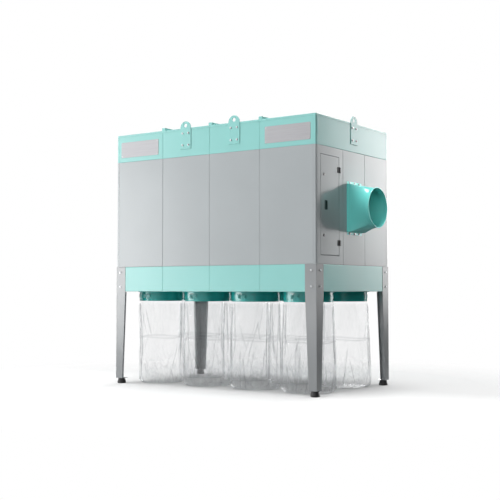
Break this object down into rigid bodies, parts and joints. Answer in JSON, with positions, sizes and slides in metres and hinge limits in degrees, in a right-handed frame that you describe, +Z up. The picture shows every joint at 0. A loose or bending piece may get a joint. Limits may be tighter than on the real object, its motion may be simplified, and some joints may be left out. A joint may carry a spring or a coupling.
{
  "type": "modular dust collector",
  "caption": "Free-standing modular dust collector: sheet-metal filter cabinet on legs, with a side inlet, an access door, lifting lugs and clear collecting bags below.",
  "frame": {"origin": "on the floor, under the middle of the whole object's bounding box", "axes": "+X along the cabinet towards the inlet end, -Y out of the long front face, +Z up"},
  "size_m": [2.838, 1.526, 2.7838],
  "materials": {
    "panel_grey": "semi-gloss powder coat",
    "leg_grey": "satin powder coat",
    "band_teal": "semi-gloss powder coat, light teal",
    "deep_teal": "gloss powder coat, deep teal",
    "nameplate_grey": "satin, blank",
    "zinc": "zinc plated",
    "galvanised": "galvanised sheet",
    "rubber_black": "moulded rubber",
    "plastic_black": "moulded plastic",
    "clear_film": "clear polyethylene film",
    "filter_felt": "needled felt",
    "motor_grey": "painted casting"
  },
  "bodies": {
    "cabinet": {"leg_front_left": "leg_grey", "leg_front_right": "leg_grey", "leg_rear_left": "leg_grey", "leg_rear_right": "leg_grey", "rubber_feet": "rubber_black", "foot_studs": "zinc", "hex_bolts": "zinc", "base_panels_front": "band_teal", "base_panels_rear": "band_teal", "base_panels_ends": "band_teal", "wall_panels_front": "panel_grey", "wall_panels_rear": "panel_grey", "wall_panels_left": "panel_grey", "door_frame": "panel_grey", "inlet_panel": "panel_grey", "right_rear_panel": "panel_grey", "top_panels_front": "band_teal", "top_panels_rear": "band_teal", "top_panels_ends": "band_teal", "roof_panels": "band_teal", "roof_seam_caps": "band_teal", "corner_posts": "panel_grey", "top_corner_posts": "band_teal", "lifting_lugs": "band_teal", "nameplates": "nameplate_grey", "nameplate_rivets": "zinc", "hopper_funnels": "galvanised", "bag_collars": "deep_teal", "clamp_bands": "deep_teal", "dust_bags": "clear_film", "tube_sheets": "galvanised", "filter_sleeves": "filter_felt", "sleeve_cages": "zinc", "header_tank": "motor_grey", "blow_pipes": "galvanised", "pulse_valves": "plastic_black", "fan_walls": "galvanised", "fan_motors": "motor_grey", "outlet_louvres": "band_teal", "inlet_transition": "deep_teal", "inlet_baffle": "galvanised", "frame_hinge_leaves": "plastic_black", "door_gasket": "rubber_black"},
    "door": {"access_door": "panel_grey", "door_pull": "plastic_black", "door_hinge_leaves": "plastic_black"},
    "lock_upper": {"lock_upper": "zinc"},
    "lock_lower": {"lock_lower": "zinc"},
    "clamp_lever_1": {"clamp_lever_1": "deep_teal"},
    "clamp_lever_2": {"clamp_lever_2": "deep_teal"},
    "clamp_lever_3": {"clamp_lever_3": "deep_teal"},
    "clamp_lever_4": {"clamp_lever_4": "deep_teal"},
    "clamp_lever_5": {"clamp_lever_5": "deep_teal"},
    "clamp_lever_6": {"clamp_lever_6": "deep_teal"},
    "clamp_lever_7": {"clamp_lever_7": "deep_teal"},
    "clamp_lever_8": {"clamp_lever_8": "deep_teal"},
    "fan_impeller_1": {"fan_impeller_1": "galvanised"},
    "fan_impeller_2": {"fan_impeller_2": "galvanised"},
    "fan_impeller_3": {"fan_impeller_3": "galvanised"},
    "fan_impeller_4": {"fan_impeller_4": "galvanised"}
  },
  "joints": [
    {"name": "door_swing", "type": "hinge", "parent": "cabinet", "child": "door", "pos_m": [1.153, -0.307, 1.8415], "axis": [0, 0, 1], "range_deg": [0, 95]},
    {"name": "lock_upper_turn", "type": "hinge", "parent": "door", "child": "lock_upper", "pos_m": [1.146, -0.603, 2.138], "axis": [1, 0, 0], "range_deg": [0, 90]},
    {"name": "lock_lower_turn", "type": "hinge", "parent": "door", "child": "lock_lower", "pos_m": [1.146, -0.603, 1.545], "axis": [1, 0, 0], "range_deg": [0, 90]},
    {"name": "clamp_lever_1_swing", "type": "hinge", "parent": "cabinet", "child": "clamp_lever_1", "pos_m": [-1.113, -0.6236, 0.949], "axis": [0, 0, -1], "range_deg": [0, 120]},
    {"name": "clamp_lever_2_swing", "type": "hinge", "parent": "cabinet", "child": "clamp_lever_2", "pos_m": [-0.4755, -0.6236, 0.949], "axis": [0, 0, -1], "range_deg": [0, 120]},
    {"name": "clamp_lever_3_swing", "type": "hinge", "parent": "cabinet", "child": "clamp_lever_3", "pos_m": [0.1495, -0.6236, 0.949], "axis": [0, 0, -1], "range_deg": [0, 120]},
    {"name": "clamp_lever_4_swing", "type": "hinge", "parent": "cabinet", "child": "clamp_lever_4", "pos_m": [0.787, -0.6236, 0.949], "axis": [0, 0, -1], "range_deg": [0, 120]},
    {"name": "clamp_lever_5_swing", "type": "hinge", "parent": "cabinet", "child": "clamp_lever_5", "pos_m": [-1.045, 0.6236, 0.949], "axis": [0, 0, -1], "range_deg": [0, 120]},
    {"name": "clamp_lever_6_swing", "type": "hinge", "parent": "cabinet", "child": "clamp_lever_6", "pos_m": [-0.4075, 0.6236, 0.949], "axis": [0, 0, -1], "range_deg": [0, 120]},
    {"name": "clamp_lever_7_swing", "type": "hinge", "parent": "cabinet", "child": "clamp_lever_7", "pos_m": [0.2175, 0.6236, 0.949], "axis": [0, 0, -1], "range_deg": [0, 120]},
    {"name": "clamp_lever_8_swing", "type": "hinge", "parent": "cabinet", "child": "clamp_lever_8", "pos_m": [0.855, 0.6236, 0.949], "axis": [0, 0, -1], "range_deg": [0, 120]},
    {"name": "fan_1_spin", "type": "hinge", "parent": "cabinet", "child": "fan_impeller_1", "pos_m": [-1.079, 0.438, 2.5645], "axis": [0, 1, 0], "continuous": true},
    {"name": "fan_2_spin", "type": "hinge", "parent": "cabinet", "child": "fan_impeller_2", "pos_m": [-0.4415, 0.438, 2.5645], "axis": [0, 1, 0], "continuous": true},
    {"name": "fan_3_spin", "type": "hinge", "parent": "cabinet", "child": "fan_impeller_3", "pos_m": [0.1835, 0.438, 2.5645], "axis": [0, 1, 0], "continuous": true},
    {"name": "fan_4_spin", "type": "hinge", "parent": "cabinet", "child": "fan_impeller_4", "pos_m": [0.821, 0.438, 2.5645], "axis": [0, 1, 0], "continuous": true}
  ]
}
